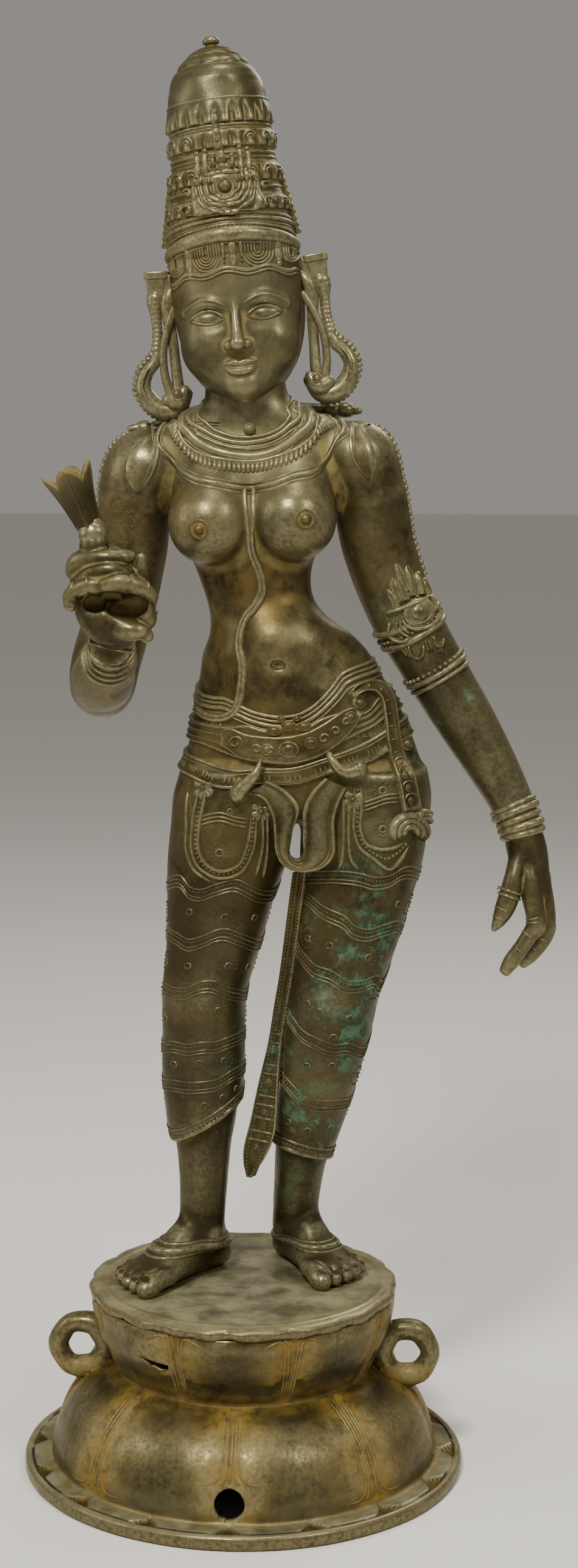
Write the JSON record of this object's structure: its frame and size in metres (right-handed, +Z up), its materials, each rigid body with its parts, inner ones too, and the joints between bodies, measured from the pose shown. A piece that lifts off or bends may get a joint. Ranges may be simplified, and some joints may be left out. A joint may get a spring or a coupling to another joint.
{
  "type": "statue",
  "caption": "Cast bronze figure of a standing goddess with a tall crown, one hand raised with a flower, on a round double-lotus pedestal with ring lugs.",
  "frame": {"origin": "centre of the bounding box on the surface that the pedestal stands on", "axes": "+Z up, the figure faces -Y, and +X is the figure's left"},
  "size_m": [0.3006, 0.252, 0.7998],
  "materials": {
    "figure_bronze": "dark olive-brown cast bronze, rubbed brighter on the knobs and ridges",
    "pedestal_bronze": "dark cast bronze with pale dust and green patina in the hollows"
  },
  "bodies": {
    "root": {"parvati_figure": "figure_bronze", "lotus_pedestal": "pedestal_bronze"}
  },
  "joints": []
}
